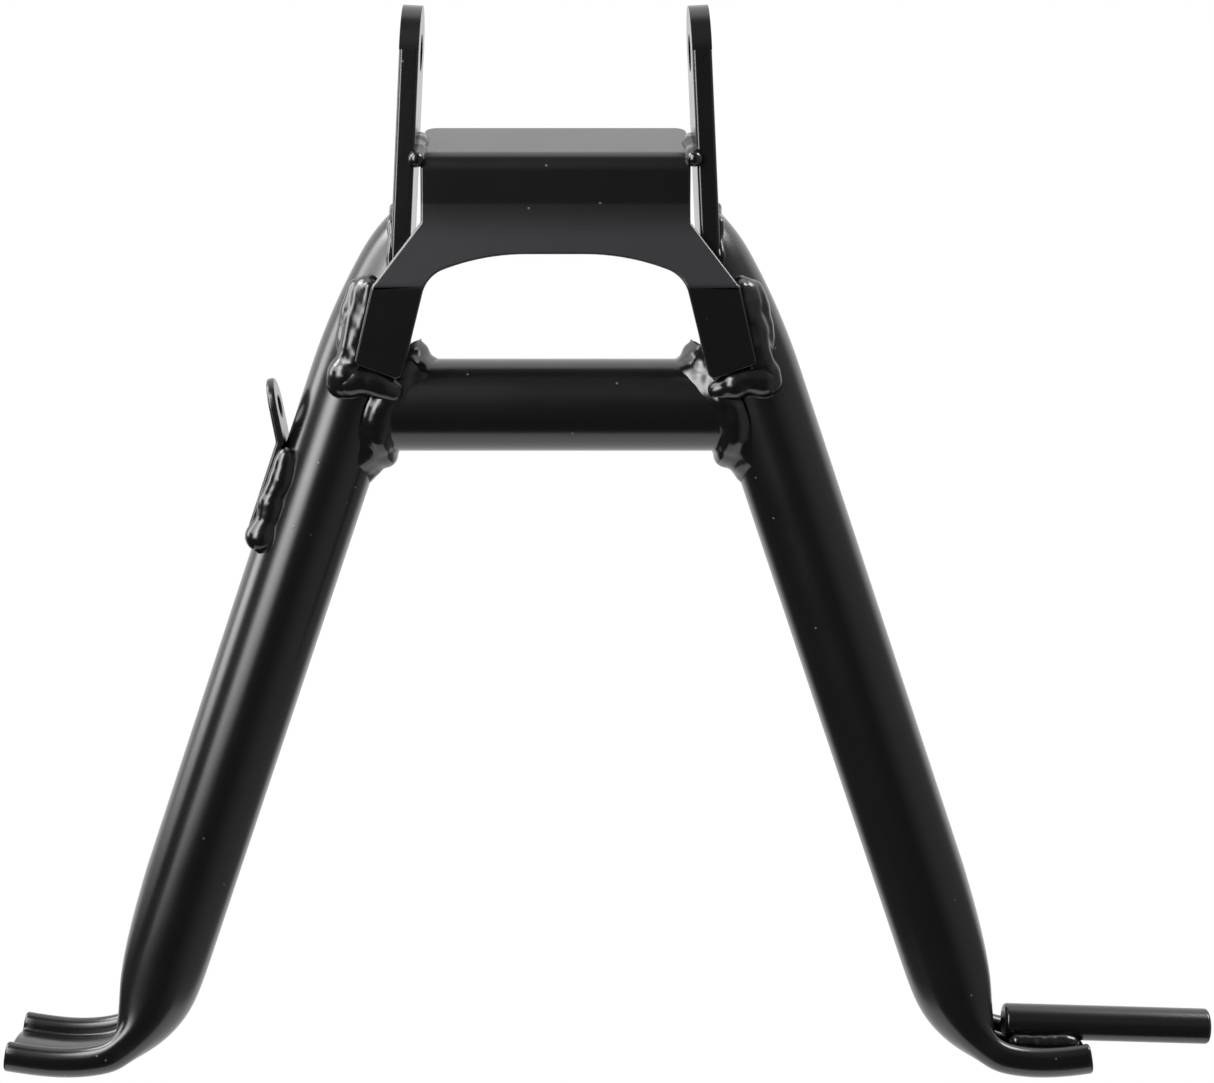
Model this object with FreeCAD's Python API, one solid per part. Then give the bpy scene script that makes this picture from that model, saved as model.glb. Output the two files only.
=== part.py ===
import FreeCAD, Part
import math
import os

from FreeCAD import Placement, Rotation, Vector

# A centre stand for a small motorcycle, in millimetres. It is one welded piece of tube, flat bar,
# bent sheet and round bar. The origin is the middle of the pivot axis. +X runs along the pivot,
# +Z is up, and -Y is the side of the bridge plate. Drops are measured down from the pivot axis.

# Leg tubes
tube_diameter = 25.4
tube_wall = 2.3
leg_lean = 18.94                 # degrees from the vertical
leg_outset = 21.17               # an ear's inner face at the pivot to the leg's axis at the cross tube
shoulder_rise = 6.1              # above the cross tube, where the leg's axis starts to bend in
shoulder_radius = 177.0
shoulder_turn = 10.5             # degrees
crown_radius = 35.0
crown_turn = 34.0                # degrees

# Pressed feet
stand_height = 285.4             # from the pivot axis to the ground
press_length = 30.0              # straight stretch of leg over which the tube starts to flatten
heel_radius = 33.0               # outside radius of the bend from leg to foot
toe_radius = 55.0                # outside radius of the foot's rocker
rocker_angle = 15.0              # degrees below level where the heel meets the rocker
toe_angle = 10.0                 # degrees above level at the foot's end
left_foot_length = 15.4          # from the line of ground contact to the foot's end
right_foot_length = 11.4
foot_width = 30.0
foot_height = 9.6
fold_gap = 0.6                   # left between the two walls of the pressed tube
foot_corner = 6.0                # outside radius of the trough's lower corners
floor_crown = 1.2                # how far the trough's floor stands up in its middle
crease_depth = 6.0               # how far the crease leads the flattening
crease_sharpness = 8
press_growth = 8                 # how late the pressing comes along the leg
bore_end = 0.95                  # pressing at which the two walls meet and the bore ends
press_stations = (1.0, 0.62, 0.36, 0.14)
heel_stations = (0.14, 0.34, 0.52, 0.68, 0.84, 1.0)
toe_stations = (0.3, 0.65, 1.0)
section_points = 18              # on each half of a section

# Cross tube
cross_tube_diameter = 25.4
cross_tube_wall = 2.3
cross_tube_drop = 95.2
cope_trim = 9.1                  # from the leg's axis to the blunted tips of the cope

# Pivot ears
ear_width = 25.0
ear_thickness = 5.3
ear_gap = 72.4                   # between the inner faces, on the pivot axis
ear_lean = 3.0                   # degrees that the ears spread downwards
ear_edge_round = 1.0
ear_foot_clearance = 1.0         # between the ear's lower end and the cross tube
pivot_hole = 10.0

# Bridge plate
plate_thickness = 3.0
plate_ear_clearance = 1.6
plate_front_proud = 1.0          # from the ears' front edge to the plate's face
flange_drop = 27.6               # of the nose
flange_depth = 26.5
flange_rise = 17.0               # degrees
flange_corner = 3.5
face_height = 12.6
apron_slope = 13.0               # degrees
crease_rise = 33.0               # above the cross tube's axis
shoulder_height = 17.0           # from the sloping shoulder's start down to the crease
wing_corner_overlap = 3.06       # of the wing's corner at the crease past the leg's axis
wing_length = 22.4               # where the wing meets the tube's front
wing_outer_length = 20.7
wing_overlap = 1.1               # of the wing's lower corner past the leg's axis
wing_foot_width = 13.85
wing_foot_slope = 20.3           # degrees of the wing's lower edge
nose_radius = 5.5
bend_radius = 4.0
arch_rise = 8.6                  # of the arch's top above the crease
arch_top_radius = 62.0
arch_spring_radius = 9.0
arch_flank = 0.3                 # straight run between the two rounds
arch_flank_slope = 20.56         # degrees
wing_inner_slope = 14.5          # degrees from the vertical
plate_corner = 2.0

# Foot lever
lever_diameter = 10.0
lever_seat = 21.6                # length lying in the foot
lever_reach = 37.0               # past the foot's end
lever_clearance = 0.3            # over the foot's floor
lever_drop_angle = 1.67          # degrees
lever_chamfer = 0.6

# Spring tab
tab_thickness = 2.2
tab_width = 16.0
tab_bend_fall = 9.8              # below the cross tube's axis
tab_foot_length = 29.0
tab_free_length = 17.6
tab_lean = 10.5                  # degrees outwards
tab_hole = 6.0
tab_bend = 2.2                   # inside radius

# Weld beads
cross_bead = 4.2
cross_bead_lift = 1.2            # of the bead's middle, at the tube's top and bottom
side_bead = 3.8
side_bead_end = 4.8
under_bead = 3.2
flange_bead = 2.8
flange_bead_length = 18.6
seam_bead = 1.4
lever_bead = 2.8
tab_bead = 2.8
bead_waves = (0.94, 1.04, 0.88, 1.06, 0.9)
bead_taper = 0.8                # length of a bead's tapering end, in bead radii
bead_tip = 0.45                 # radius of a bead's blunt tip, in bead radii
ring_runs = 14
seam_runs = 10

joint_tolerance = 0.002
parallel = 0.999                 # cosine above which two directions count as one
spare = 40.0                     # that a sheet runs on past its blank
far = 400.0                      # reach of a cutter

tube_radius = tube_diameter / 2
cross_radius = cross_tube_diameter / 2
heading_down = leg_lean - 90.0
fold_half = tube_wall + fold_gap / 2


def sine(angle):
    return math.sin(math.radians(angle))


def cosine(angle):
    return math.cos(math.radians(angle))


def tangent(angle):
    return math.tan(math.radians(angle))


# Places that follow from the sizes

def leg_x(drop):
    """Distance from the middle to the straight leg's axis."""
    return ear_gap / 2 + leg_outset + (drop - cross_tube_drop) * tangent(leg_lean)


def ear_inner_x(drop):
    return ear_gap / 2 + drop * tangent(ear_lean)


def on_leg(drop):
    return Vector(leg_x(drop), 0, -drop)


def front_point(pair):
    return Vector(pair[0], 0, pair[1])


def side_point(pair):
    return Vector(0, pair[0], pair[1])


def rounded_outline(corners, place):
    """Closed wire through corners given as (a, b, radius)."""
    starts = []
    edges = []
    count = len(corners)
    for index, (a, b, radius) in enumerate(corners):
        here = Vector(a, b, 0)
        before = Vector(*corners[index - 1][:2], 0) - here
        after = Vector(*corners[(index + 1) % count][:2], 0) - here
        before.normalize()
        after.normalize()
        half = before.getAngle(after) / 2
        reach = radius / math.tan(half)
        middle = before + after
        if radius > 0:
            middle.normalize()
        top = here + middle * (radius / math.sin(half) - radius)
        starts.append((here + before * reach, top, here + after * reach, radius))
    for index, (enter, top, leave, radius) in enumerate(starts):
        if radius > 0:
            arc = Part.Arc(place(enter[:2]), place(top[:2]), place(leave[:2]))
            edges.append(arc.toShape())
        coming = starts[(index + 1) % count][0]
        edges.append(Part.LineSegment(place(leave[:2]), place(coming[:2])).toShape())
    return Part.Wire(edges)


def mirrored(shape):
    return shape.mirror(Vector(0, 0, 0), Vector(1, 0, 0))


def largest(shape):
    return max(shape.Solids, key=lambda solid: solid.Volume)


# Leg tube: a bent crown, a straight run, and a pressed foot

def shoulder_arc(radius_of_arc, centre, first, last):
    angles = (first, (first + last) / 2, last)
    points = [centre + Vector(cosine(a), 0, sine(a)) * radius_of_arc for a in angles]
    return Part.Arc(*points).toShape(), points[-1]


def upper_path():
    """Leg axis from where the pressing starts up to past the ear."""
    press_start = on_leg(heel_drop() - press_length * cosine(leg_lean))
    shoulder = on_leg(cross_tube_drop - shoulder_rise)
    middle = leg_lean + shoulder_turn
    inwards = Vector(cosine(leg_lean), 0, sine(leg_lean))
    first_arc, crown = shoulder_arc(
        shoulder_radius, shoulder - inwards * shoulder_radius, leg_lean, middle)
    inwards = Vector(cosine(middle), 0, sine(middle))
    second_arc, top = shoulder_arc(
        crown_radius, crown - inwards * crown_radius, middle, middle + crown_turn)
    return Part.Wire([Part.LineSegment(press_start, shoulder).toShape(), first_arc, second_arc])


def heel_path_radius():
    return heel_radius - tube_radius


def toe_path_radius():
    return toe_radius - tube_radius


def heel_drop():
    """Drop of the leg's axis where the foot's bend starts."""
    heel_fall = heel_path_radius() * (cosine(rocker_angle) - cosine(heading_down))
    toe_fall = toe_path_radius() * (1 - cosine(rocker_angle))
    return stand_height - tube_radius - heel_fall - toe_fall


def foot_stations(foot_length):
    """Path points with their heading and length along the foot, from the leg to the toe."""
    heel = on_leg(heel_drop())
    down = Vector(cosine(heading_down), 0, sine(heading_down))
    stations = []
    for share in press_stations:
        stations.append((heel - down * press_length * share, heading_down, press_length * (1 - share)))
    walked = press_length
    radius = heel_path_radius()
    centre = heel + Vector(-sine(heading_down), 0, cosine(heading_down)) * radius
    turn = -rocker_angle - heading_down
    for share in heel_stations:
        heading = heading_down + turn * share
        point = centre + Vector(sine(heading), 0, -cosine(heading)) * radius
        stations.append((point, heading, walked + math.radians(turn * share) * radius))
    heel_end, heading, walked = stations[-1]
    radius = toe_path_radius()
    centre = heel_end + Vector(-sine(heading), 0, cosine(heading)) * radius
    turn = toe_angle + rocker_angle
    for share in toe_stations:
        heading = turn * share - rocker_angle
        point = centre + Vector(sine(heading), 0, -cosine(heading)) * radius
        stations.append((point, heading, walked + math.radians(turn * share) * radius))
    last, heading, walked = stations[-1]
    run = (ground_contact_x() + foot_length - last.x) / cosine(heading)
    onwards = Vector(cosine(heading), 0, sine(heading))
    stations.append((last + onwards * run, heading, walked + run))
    return stations


def trough_point(share, half_fold):
    """Half outline of the trough, from the middle of its bottom round the lip to its floor.

    The middle line of the folded wall is a flat, a quarter round and an upright.
    """
    half_line = foot_width / 2 - fold_half
    bend = foot_corner - fold_half
    flat = half_line - bend
    upright = foot_height - 2 * fold_half - bend
    length = flat + bend * math.pi / 2 + upright
    cap = half_fold * math.pi / 2
    walk = min(share, 1 - share) * 2 * (length + cap)
    outside = 1 if share < 0.5 else -1
    base = fold_half - tube_radius
    if walk > length:
        turn = (walk - length) / max(half_fold, 0.01)
        across = half_line + outside * half_fold * math.cos(turn)
        return across, base + bend + upright + half_fold * math.sin(turn)
    if walk <= flat:
        crown = floor_crown * (1 - (walk / flat) ** 2) if outside < 0 else 0
        return walk, base - outside * half_fold + crown
    turn = (walk - flat) / bend
    if turn > math.pi / 2:
        rise = walk - flat - bend * math.pi / 2
        return half_line + outside * half_fold, base + bend + rise
    reach = bend + outside * half_fold
    return flat + reach * math.sin(turn), base + bend - reach * math.cos(turn)


def pressed_section(point, heading, pressing, inset):
    """Section of the tube between a circle and the trough. inset is the wall for the bore.

    pressing runs from 0 on the round leg to 1 in the foot. The crease runs ahead of it.
    """
    press = pressing ** press_growth
    crease = crease_depth * pressing ** 2 * (1 - press)
    radius = tube_radius - inset
    up = Vector(-sine(heading), 0, cosine(heading))
    outline = []
    for step in range(section_points + 1):
        share = step / section_points
        angle = 180 * share - 90
        across, rise = trough_point(share, fold_half - inset)
        across = press * across + (1 - press) * radius * cosine(angle)
        rise = press * rise + (1 - press) * radius * sine(angle)
        if angle > 0:
            rise -= crease * sine(angle) ** crease_sharpness
        outline.append((across, rise))
    left_side = [(-across, rise) for across, rise in reversed(outline[1:-1])]
    points = [point + Vector(0, across, 0) + up * rise for across, rise in outline + left_side]
    steps = [step / len(points) for step in range(len(points) + 1)]
    curve = Part.BSplineCurve()
    curve.interpolate(Points=points, PeriodicFlag=True, Parameters=steps)
    return curve


def skinned(sections):
    """Closed solid whose side follows the section curves, all made with the same knots."""
    around = sections[0]
    spans = len(sections) - 3
    along = [float(knot) for knot in range(spans + 1)]
    surface = Part.BSplineSurface()
    surface.buildFromPolesMultsKnots(
        [curve.getPoles() for curve in sections],
        [4] + [1] * (spans - 1) + [4], around.getMultiplicities(),
        along, around.getKnots(), False, True, 3, around.Degree)
    faces = [surface.toShape()]
    for end in (along[0], along[-1]):
        faces.append(Part.Face(Part.Wire(surface.uIso(end).toShape())))
    return Part.Solid(Part.makeShell(faces))


def pressed_foot(foot_length, inset, last_pressing):
    """The flattening stretch and the foot, as far as the pressing given."""
    press_run = press_length + math.radians(-rocker_angle - heading_down) * heel_path_radius()
    sections = []
    for point, heading, walked in foot_stations(foot_length):
        pressing = min(1.0, walked / press_run)
        if pressing <= last_pressing:
            sections.append(pressed_section(point, heading, pressing, inset))
    return skinned(sections)


def round_bar_along(path, radius):
    start = path.OrderedEdges[0]
    heading = start.tangentAt(start.FirstParameter)
    circle = Part.makeCircle(radius, start.valueAt(start.FirstParameter), heading)
    return path.makePipeShell([Part.Wire(circle)], True, False)


def solid_leg(foot_length):
    upper = round_bar_along(upper_path(), tube_radius)
    return upper.fuse([pressed_foot(foot_length, 0, 1.0)], joint_tolerance)


def leg_bore(foot_length):
    upper = round_bar_along(upper_path(), tube_radius - tube_wall)
    return upper.fuse([pressed_foot(foot_length, tube_wall, bore_end)], joint_tolerance)


def ear_frame(shape):
    """Turn and move a shape from the ear's own frame to its place on the right."""
    shape.Placement = Placement(
        Vector(ear_gap / 2, 0, 0), Rotation(Vector(0, 1, 0), -ear_lean))
    return shape


def ear_length():
    """From the pivot axis to the ear's lower end."""
    free_drop = cross_tube_drop - cross_radius - ear_foot_clearance
    return free_drop / cosine(ear_lean) - ear_thickness * tangent(ear_lean)


def notch_for_ear():
    """Everything that the ear's outer face and lower end cut from the leg's crown."""
    block = Part.makeBox(
        far / 2 + ear_thickness, far, ear_length() + far / 2,
        Vector(-far / 2, -far / 2, -ear_length()))
    return ear_frame(block)


def leg_tube(foot_length):
    tube = solid_leg(foot_length).cut(leg_bore(foot_length))
    return largest(tube.cut(notch_for_ear()))


# Pivot ear: flat bar with rolled edges, its end punched round

def pivot_ear():
    half = ear_width / 2
    bar = Part.makeBox(
        ear_thickness, ear_width, ear_length(), Vector(0, -half, -ear_length()))
    long_edges = []
    for edge in bar.Edges:
        if abs(edge.tangentAt(edge.FirstParameter).z) > parallel:
            long_edges.append(edge)
    bar = bar.makeFillet(ear_edge_round, long_edges)
    round_end = Part.makeCylinder(half, ear_thickness, Vector(0, 0, 0), Vector(1, 0, 0))
    round_end = round_end.common(Part.makeBox(
        ear_thickness, ear_width, half, Vector(0, -half, 0)))
    ear = ear_frame(bar.fuse(round_end))
    hole = Part.makeCylinder(pivot_hole / 2, far, Vector(-far / 2, 0, 0), Vector(1, 0, 0))
    return largest(ear.cut(hole))


# Cross tube, coped to the legs at both ends

def cross_tube_bar(radius):
    return Part.makeCylinder(
        radius, 2 * leg_x(cross_tube_drop), Vector(-leg_x(cross_tube_drop), 0, -cross_tube_drop),
        Vector(1, 0, 0))


def cross_tube(legs):
    tube = cross_tube_bar(cross_radius).cut(cross_tube_bar(cross_radius - cross_tube_wall))
    for leg in legs:
        tube = tube.cut(leg)
    trim = Part.makeBox(far, far, 2 * far, Vector(-cope_trim, -far / 2, -far))
    trim.Placement = Placement(on_leg(cross_tube_drop), Rotation(Vector(0, 1, 0), -leg_lean))
    tube = tube.cut(trim).cut(mirrored(trim))
    return min(tube.Solids, key=lambda solid: abs(solid.CenterOfMass.x))


# Bridge plate: one sheet, bent four times, blanked to its outline and arched underneath

def crease_drop():
    return cross_tube_drop - crease_rise


def plate_half_width():
    return ear_inner_x(flange_drop) - plate_ear_clearance


def plate_front():
    return -ear_width / 2 - plate_front_proud


def plate_side_profile():
    """Front and back of the bent sheet, seen along the pivot."""
    front = plate_front()
    crease_front = front - (crease_drop() - flange_drop - face_height) * tangent(apron_slope)
    wing_foot_front = -tube_radius - plate_thickness
    wing_lean = math.atan2(wing_foot_front - crease_front, wing_length)
    bends = [
        (front + flange_depth, -flange_drop + flange_depth * tangent(flange_rise)),
        (front, -flange_drop),
        (front, -flange_drop - face_height),
        (crease_front, -crease_drop()),
        (crease_front + spare * math.tan(wing_lean), -crease_drop() - spare)]
    headings = []
    for here, there in zip(bends, bends[1:]):
        headings.append(math.atan2(there[1] - here[1], there[0] - here[0]))
    back = []
    for index, (across, rise) in enumerate(bends):
        before = headings[max(index - 1, 0)]
        after = headings[min(index, len(headings) - 1)]
        middle = (before + after) / 2
        offset = plate_thickness / math.cos((after - before) / 2)
        back.append((across - offset * math.sin(middle), rise + offset * math.cos(middle)))
    inner_nose = nose_radius - plate_thickness
    outer_bend = bend_radius + plate_thickness
    front_radii = (0, nose_radius, bend_radius, outer_bend, 0)
    back_radii = (0, inner_nose, outer_bend, bend_radius, 0)
    front_corners = [(*pair, radius) for pair, radius in zip(bends, front_radii)]
    back_corners = [(*pair, radius) for pair, radius in zip(back, back_radii)]
    return front_corners + back_corners[::-1]


def wing_corner_x():
    return leg_x(crease_drop()) + wing_corner_overlap


def wing_foot_corner():
    drop = crease_drop() + wing_outer_length
    return leg_x(drop) + wing_overlap, -drop


def arch_flank_length():
    """Between the two corners that the arch's rounds replace."""
    spring_turn = 90 - wing_inner_slope - arch_flank_slope
    top_share = arch_top_radius * tangent(arch_flank_slope / 2)
    return top_share + arch_flank + arch_spring_radius * tangent(spring_turn / 2)


def plate_outline():
    """Blank of the plate, seen from the front."""
    half = plate_half_width()
    top = -flange_drop + flange_depth * tangent(flange_rise) + spare
    foot_x, foot_z = wing_foot_corner()
    spring_z = arch_rise - arch_flank_length() * sine(arch_flank_slope) - crease_drop()
    inner_fall = spring_z - foot_z
    inner_slope = tangent(wing_inner_slope)
    foot_slope = tangent(wing_foot_slope)
    spring_x = foot_x - wing_foot_width - inner_fall * inner_slope
    arch_top_x = spring_x - arch_flank_length() * cosine(arch_flank_slope)
    extra = wing_foot_width * foot_slope / (1 + foot_slope * inner_slope)
    right = [
        (half, top, 0),
        (half, -crease_drop() + shoulder_height, plate_corner / 2),
        (wing_corner_x(), -crease_drop(), plate_corner / 2),
        (foot_x, foot_z, plate_corner / 2),
        (spring_x + (inner_fall + extra) * inner_slope, foot_z - extra, plate_corner),
        (spring_x, spring_z, arch_spring_radius),
        (arch_top_x, arch_rise - crease_drop(), arch_top_radius)]
    left = [(-across, rise, radius) for across, rise, radius in reversed(right)]
    return right + left


def bridge_plate():
    width = 4 * plate_half_width()
    side = Part.Face(rounded_outline(plate_side_profile(), side_point))
    sheet = side.extrude(Vector(width, 0, 0))
    sheet.translate(Vector(-width / 2, 0, 0))
    front = Part.Face(rounded_outline(plate_outline(), front_point))
    blank = front.extrude(Vector(0, far, 0))
    blank.translate(Vector(0, -far / 2, 0))
    plate = largest(sheet.common(blank))
    rear = plate_front() + flange_depth
    corners = []
    for edge in plate.Edges:
        middle = edge.CenterOfMass
        across = edge.Length < plate_thickness + joint_tolerance
        at_side = abs(middle.x) > plate_half_width() - plate_thickness
        if across and at_side and middle.y > rear - plate_thickness:
            corners.append(edge)
    return plate.makeFillet(flange_corner, corners)


# Foot lever: a round bar lying in the right foot's trough

def lever_axis():
    slope = Vector(cosine(lever_drop_angle), 0, -sine(lever_drop_angle))
    toe_rise = toe_radius * (1 - cosine(toe_angle))
    toe_rise += (right_foot_length - toe_radius * sine(toe_angle)) * tangent(toe_angle)
    floor = -stand_height + 2 * fold_half + floor_crown + toe_rise
    seat = Vector(ground_contact_x() + right_foot_length, 0, floor)
    centre = seat + Vector(-slope.z, 0, slope.x) * (lever_diameter / 2 + lever_clearance)
    return centre - slope * lever_seat, slope


def ground_contact_x():
    """Where the foot touches the ground."""
    across = leg_x(heel_drop())
    across += heel_path_radius() * (cosine(leg_lean) - sine(rocker_angle))
    return across + toe_path_radius() * sine(rocker_angle)


def foot_lever():
    start, slope = lever_axis()
    bar = Part.makeCylinder(lever_diameter / 2, lever_seat + lever_reach, start, slope)
    ends = [edge for edge in bar.Edges if edge.Closed]
    return bar.makeChamfer(lever_chamfer, ends)


# Spring tab: a bent strip on the left leg's outer side

def spring_tab():
    foot_run = (sine(leg_lean), -cosine(leg_lean))
    free_run = (sine(tab_lean), cosine(tab_lean))
    outwards = Vector(cosine(leg_lean), 0, sine(leg_lean)) * tube_radius
    bend = on_leg(cross_tube_drop + tab_bend_fall + outwards.z) + outwards
    half_angle = math.radians(leg_lean + tab_lean) / 2
    foot = (bend.x + foot_run[0] * tab_foot_length, bend.z + foot_run[1] * tab_foot_length)
    top = (bend.x + free_run[0] * tab_free_length, bend.z + free_run[1] * tab_free_length)
    mitre = tab_thickness / math.cos(half_angle)
    facing = math.radians(leg_lean - tab_lean) / 2
    outer_bend = (bend.x + mitre * math.cos(facing), bend.z + mitre * math.sin(facing))
    outline = [
        (*foot, 0),
        (bend.x, bend.z, tab_bend + tab_thickness),
        (*top, 0),
        (top[0] + tab_thickness * cosine(tab_lean), top[1] - tab_thickness * sine(tab_lean), 0),
        (*outer_bend, tab_bend),
        (foot[0] + tab_thickness * cosine(leg_lean), foot[1] + tab_thickness * sine(leg_lean), 0)]
    strip = Part.Face(rounded_outline(outline, front_point)).extrude(Vector(0, tab_width, 0))
    strip.translate(Vector(0, -tab_width / 2, 0))
    half = tab_width / 2
    across = Vector(cosine(tab_lean), 0, -sine(tab_lean))
    centre = Vector(top[0], 0, top[1]) - Vector(free_run[0], 0, free_run[1]) * half
    start = centre - across * half
    end_round = Part.makeCylinder(half, tab_width, start, across)
    below = Part.makeBox(far, far, far, Vector(-far / 2, -far / 2, -far))
    below.Placement = Placement(centre, Rotation(Vector(0, 1, 0), tab_lean))
    strip = strip.common(end_round.fuse(below))
    hole = Part.makeCylinder(tab_hole / 2, tab_width, start, across)
    return mirrored(largest(strip.cut(hole)))


# Weld beads

def mitred_bead(points, radius, closed=False):
    """Round bead of one radius along straight runs, mitred at each point between them."""
    if closed:
        middle = (points[0] + points[-1]) * 0.5
        points = [middle, *points, middle]
    section = Part.makeCircle(radius, points[0], points[1] - points[0])
    mitre_corners = 1
    skin = Part.makePolygon(points).makePipeShell(
        [Part.Wire(section)], not closed, False, mitre_corners)
    return Part.Solid(skin) if closed else skin


def tapered_bead(start, along, stations):
    """Straight bead of tapering rounds. Each station is a share of the run and a radius."""
    rounds = []
    for share, radius in stations:
        circle = Part.makeCircle(radius, start + along * share, along)
        rounds.append(Part.Wire(circle))
    return Part.makeLoft(rounds, True, True)


def straight_bead(start, end, radius, end_swell=1.0):
    """Straight bead whose last ripple swells where the welder stopped."""
    along = end - start
    length = along.Length
    taper = radius * bead_taper / length
    waves = list(bead_waves)
    waves[-1] *= end_swell
    shares = [taper + (1 - 2 * taper) * index / (len(waves) - 1) for index in range(len(waves))]
    shares = [0.0] + shares + [1.0]
    waves = [bead_tip] + waves + [bead_tip]
    return tapered_bead(
        start, along, [(share, radius * wave) for share, wave in zip(shares, waves)])


def laid_on(bead, neighbours):
    """The part of a bead that is outside the metal that it joins."""
    for neighbour in neighbours:
        bead = bead.cut(neighbour)
    return largest(bead)


def cope_point(angle):
    """Point of the seam between cross tube and leg, at an angle round the cross tube."""
    drop = cross_tube_drop - cross_radius * sine(angle)
    reach = tube_radius - (tube_radius - cope_trim) * cosine(angle) ** 2
    return Vector(leg_x(drop) - reach / cosine(leg_lean), cross_radius * cosine(angle), -drop)


def cross_tube_bead(neighbours):
    """Ring round the cross tube's end, standing out most at its top and bottom."""
    points = []
    for step in range(ring_runs):
        angle = 360 * (step + 0.5) / ring_runs
        lift = cross_bead_lift * sine(angle) ** 4
        points.append(cope_point(angle) + Vector(-lift, 0, lift * sine(angle)))
    return laid_on(mitred_bead(points, cross_bead, True), neighbours)


def wing_side_bead(neighbours):
    foot_x, foot_z = wing_foot_corner()
    start = Vector(wing_corner_x() + side_bead / 2, plate_front() + side_bead / 8, -crease_drop())
    end = Vector(foot_x + side_bead, side_bead / 8 - tube_radius, foot_z - side_bead)
    bead = straight_bead(start, end, side_bead, side_bead_end / side_bead)
    return laid_on(bead, neighbours)


def wing_under_bead(neighbours):
    foot_x, foot_z = wing_foot_corner()
    start = Vector(foot_x - under_bead / 2, -tube_radius, foot_z - under_bead)
    run = wing_foot_width + under_bead / 2
    end = start + Vector(-run, under_bead, -run * tangent(wing_foot_slope))
    return laid_on(straight_bead(start, end, under_bead), neighbours)


def flange_bead_along(neighbours):
    across = plate_half_width() + plate_ear_clearance / 2
    start = Vector(across, plate_front() - flange_bead / 2, -flange_drop - flange_bead / 3)
    end = start + Vector(0, flange_bead_length, flange_bead_length * tangent(flange_rise))
    return laid_on(straight_bead(start, end, flange_bead), neighbours)


def ear_seam_bead(leg, neighbours):
    """Bead round the leg's crown, where it is cut along the ear's outer face."""
    seam_face = None
    outer = Vector(cosine(ear_lean), 0, sine(ear_lean))
    best = 0
    for face in leg.Faces:
        normal = face.normalAt(0, 0)
        if abs(normal.dot(outer)) > parallel and face.Area > best:
            seam_face = face
            best = face.Area
    floor = -ear_length() * cosine(ear_lean) + tube_wall
    edges = [edge for edge in seam_face.OuterWire.Edges if edge.BoundBox.ZMax > floor]
    path = Part.Wire(Part.__sortEdges__(edges))
    points = path.discretize(Number=seam_runs + 1)
    return laid_on(mitred_bead(points, seam_bead), neighbours)


def lever_side_bead(side, neighbours):
    start, slope = lever_axis()
    radius = lever_diameter / 2
    aside = Vector(0, side * (radius + lever_bead / 6), lever_bead / 3 - radius)
    first = start + aside + slope * lever_bead
    last = first + slope * (lever_seat - 2 * lever_bead)
    return laid_on(straight_bead(first, last, lever_bead), neighbours)


def tab_side_bead(side, neighbours):
    outwards = Vector(cosine(leg_lean), 0, sine(leg_lean))
    down = Vector(sine(leg_lean), 0, -cosine(leg_lean))
    first = on_leg(cross_tube_drop + tab_bend_fall) + outwards * (tube_radius - tab_thickness)
    first += Vector(0, side * tab_width / 2, 0) + down * (2 * tab_bead)
    bead = straight_bead(first, first + down * tab_foot_length, tab_bead)
    return laid_on(mirrored(bead), neighbours)


def build():
    right_solid = solid_leg(right_foot_length)
    left_solid = mirrored(solid_leg(left_foot_length))
    right_leg = leg_tube(right_foot_length)
    left_leg_as_right = leg_tube(left_foot_length)
    tube = cross_tube((left_solid, right_solid))
    plate = bridge_plate()
    ear = pivot_ear()
    lever = foot_lever()
    tab = spring_tab()
    crown = largest(right_solid.cut(notch_for_ear()))
    metal = [plate, ear, cross_tube_bar(cross_radius), crown]

    parts = {
        "left_leg_tube": mirrored(left_leg_as_right),
        "right_leg_tube": right_leg,
        "cross_tube": tube,
        "bridge_plate": plate,
        "left_pivot_ear": mirrored(ear),
        "right_pivot_ear": ear,
        "foot_lever": lever,
        "spring_tab": tab}

    cross_weld = cross_tube_bead(metal)
    under_weld = wing_under_bead(metal + [cross_weld])
    side_weld = wing_side_bead(metal + [cross_weld, under_weld])
    seam_weld = ear_seam_bead(right_leg, metal + [side_weld, cross_weld])
    flange_weld = flange_bead_along(metal)
    pairs = {
        "cross_tube_weld": cross_weld,
        "wing_under_weld": under_weld,
        "wing_side_weld": side_weld,
        "ear_seam_weld": seam_weld,
        "flange_weld": flange_weld}
    for name, bead in pairs.items():
        parts["right_" + name] = bead
        parts["left_" + name] = mirrored(bead)

    foot_metal = [right_solid, lever]
    parts["front_lever_weld"] = lever_side_bead(-1, foot_metal)
    parts["back_lever_weld"] = lever_side_bead(1, foot_metal)
    tab_metal = [left_solid, tab]
    parts["front_tab_weld"] = tab_side_bead(-1, tab_metal)
    parts["back_tab_weld"] = tab_side_bead(1, tab_metal)
    return parts


os.makedirs("parts", exist_ok=True)
for node, solid in build().items():
    solid.exportStep("parts/" + node + ".step")
    print(node, len(solid.Solids), round(solid.Volume, 1), solid.isValid())
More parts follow.
